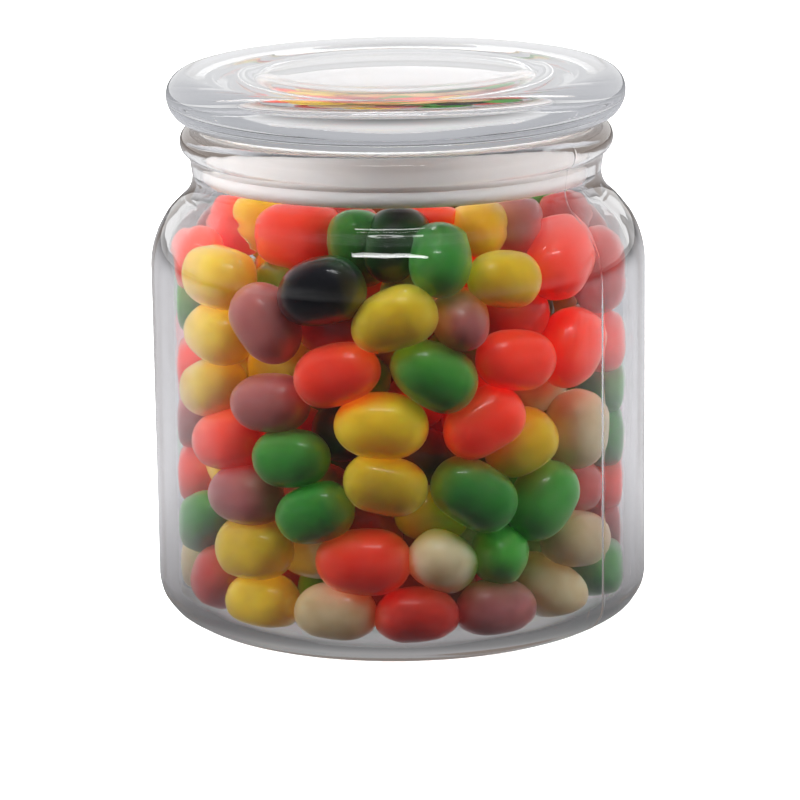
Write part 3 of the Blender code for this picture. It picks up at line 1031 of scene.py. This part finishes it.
def painted_bleed_from_neighbours(points, own):
    """For each point of some beans, the mean colour of the other beans near it, and how strongly it shows.

    The colour is painted light, standing in for light that comes through those beans. A bean counts
    by exp(-(gap / reach)^2), where gap is from the point to its capsule. The strength is
    share (1 - exp(-sum of the counts)).
    """
    radius = BEAN_R * bean_sizes
    half = bean_axes * (BEAN_LENGTH / 2 * bean_sizes - radius)[:, None]
    flat = points.reshape(-1, 3)
    away = flat[:, None] - bean_middles
    along = np.einsum("pbk,bk->pb", away, half) / np.einsum("bk,bk->b", half, half)
    gap = np.linalg.norm(away - np.clip(along, -1, 1)[..., None] * half, axis=2) - radius
    count = np.exp(-(np.maximum(gap, 0) / BLEED_REACH) ** 2)
    itself = np.repeat(np.flatnonzero(own), points.shape[1])
    count[np.arange(len(flat)), itself] = 0
    dyes = np.array([np.mean([linear(DYES[kind][0]), linear(DYES[kind][1])], axis=0) for kind in KINDS])
    total = count.sum(axis=1)
    colour = count @ dyes[bean_kinds] / np.maximum(total, 1e-6)[:, None]
    return colour, BLEED_SHARE * (1 - np.exp(-total))


# %% [markdown]
# ## One mesh for each colour
#
# A batch of one colour comes from one pan, so it is one piece with one
# material. All its beans are worked out in a single pass, moved clear of the
# glass, and pressed slightly flat where they rest on it.


# %% One piece for each colour
def clear_of_glass(points):
    """Move back each bean that dips into the glass, until at most 0.3 mm of it does, and flatten that."""
    gap, give = 0.2 * MM, 0.3 * MM

    def overreach(spots):
        across = np.maximum(np.hypot(spots[..., 0], spots[..., 1]), 1e-6)
        return across, across - room_inside(spots[..., 2], gap)

    lift = (FLOOR_Z + gap - points[..., 2]).max(axis=1) - give
    points[..., 2] += np.maximum(lift, 0)[:, None]
    points[..., 2] = np.maximum(points[..., 2], FLOOR_Z + gap)
    across, over = overreach(points)
    middle = points.mean(axis=1)[:, :2]
    back = np.maximum(over.max(axis=1) - give, 0) / np.linalg.norm(middle, axis=1)
    points[..., :2] -= (middle * back[:, None])[:, None]
    across, over = overreach(points)
    points[..., :2] *= (1 - np.maximum(over, 0) / across)[..., None]
    return points


def bean_piece(kind, chosen, random):
    """All beans of one colour as one mesh: every cage turned to its axis and moved to its place at once."""
    middles, axes, sizes = bean_middles[chosen], bean_axes[chosen], bean_sizes[chosen]
    count = len(middles)
    half = np.array([BEAN_LENGTH, BEAN_WIDTH, BEAN_WIDTH]) / 2 * sizes[:, None]
    half = half * random.uniform((0.97, 0.98, 0.93), (1.06, 1.04, 1.0), (count, 3))
    shapes = bean_shapes(CAGE, half, random)
    outward = middles * (1, 1, 0) + (0, 0, 1e-6)
    side = np.cross(axes, outward)
    side /= np.linalg.norm(side, axis=1, keepdims=True)
    frames = np.stack([axes, side, np.cross(axes, side)], axis=1)
    points = clear_of_glass(np.einsum("npi,nij->npj", shapes, frames) + middles[:, None, :])
    faces = (CAGE_FACES[None] + len(CAGE) * np.arange(count)[:, None, None]).reshape(-1, 4)
    piece = new_piece("jelly_beans_" + kind, points.reshape(-1, 3), faces, sugar_shell(kind))
    tone = piece.data.attributes.new("tone", "FLOAT", "POINT")
    tone.data.foreach_set("value", np.repeat(random.uniform(0, 1, count), len(CAGE)).astype(np.float32))
    # Painted light: the colour of the beans near each point, and how strongly the shader mixes it in.
    colour, strength = painted_bleed_from_neighbours(points, chosen)
    painted_bleed_colour = piece.data.attributes.new("painted_bleed_colour", "FLOAT_COLOR", "POINT")
    painted_bleed_colour.data.foreach_set("color", colour.astype(np.float32).ravel())
    painted_bleed_share = piece.data.attributes.new("painted_bleed_share", "FLOAT", "POINT")
    painted_bleed_share.data.foreach_set("value", strength.astype(np.float32))
    smooth = piece.modifiers.new("smooth", "SUBSURF")
    smooth.levels = smooth.render_levels = CAGE_LEVELS
    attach(piece, "root")
    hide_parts("jelly_beans")
    print(piece.name, "has", count, "beans")
    return piece


SHAPE_SEED = 5
random_shapes = np.random.default_rng(SHAPE_SEED)
for number, kind in enumerate(KINDS):
    bean_piece(kind, bean_kinds == number, random_shapes)

# %% [markdown]
# ## The hidden middle
#
# Nobody sees the beans in the middle of the jar, only darkness between the
# outer ones. One lumpy column stands for them. Its surface is bumpy at the
# size of a bean and painted in cells of the candies' colours, several of them
# darkened as painted shade, so what shows through a gap looks like more beans
# in the shade.


# %% Core
def core_column():
    """A closed column turned from a straight profile, its radius waved by a product of sines a bean apart."""
    bend = 6 * MM
    foot, top = FLOOR_Z + 0.3 * MM, CORE_TOP
    profile = evened(np.vstack([
        [(0, foot)], arc(CORE_R - bend, foot + bend, bend, -90, 0, 6),
        arc(CORE_R - bend, top - bend, bend, 0, 90, 6), [(0, top)]]), 3 * MM)
    points, faces = turned(profile, np.arange(60) * 2 * np.pi / 60)
    x, y, z = points.T
    angle = np.arctan2(y, x)
    waves = np.sin(9 * angle + 2 * np.sin(z * 300)) * np.sin(z * 2 * np.pi / (13 * MM) + 2 * np.sin(angle))
    swell = 1 + 0.09 * waves * np.minimum(np.hypot(x, y) / (10 * MM), 1)
    return np.stack([x * swell, y * swell, z], axis=1), faces


def shaded_candy():
    """The same sugar shells deep in the heap, where little light comes: cells of the beans' colours, several
    darkened as painted shade.
    """
    material, tree, output = new_material("sugar_shells_in_shade")
    place = add(tree, "ShaderNodeTexCoord")
    cells = add(tree, "ShaderNodeTexVoronoi", {"Vector": place.outputs["Object"], "Scale": 1 / (12 * MM)})
    pick = add(tree, "ShaderNodeSeparateColor", {0: cells.outputs["Color"]})
    ramp = add(tree, "ShaderNodeValToRGB", {0: pick.outputs[0]})
    ramp.color_ramp.interpolation = "CONSTANT"
    # Painted shade: several of these are darker than the beans' own dyes.
    painted_shade_tints = ["#8c2a18", "#a43a1a", "#94601c", "#4c6e2a", "#70403a", "#b08858"]
    while len(ramp.color_ramp.elements) < len(painted_shade_tints):
        ramp.color_ramp.elements.new(0.5)
    for step, (stop, tint) in enumerate(zip(ramp.color_ramp.elements, painted_shade_tints)):
        stop.position = step / len(painted_shade_tints)
        stop.color = linear(tint)
    shell = add(tree, "ShaderNodeBsdfPrincipled", {"Base Color": ramp.outputs[0], "Roughness": 0.55})
    tree.links.new(shell.outputs[0], output.inputs["Surface"])
    return material


points, faces = core_column()
core = new_piece("jelly_beans_middle", points, faces, shaded_candy())
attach(core, "root")
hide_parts("jelly_beans")
print("core:", len(points), "points")
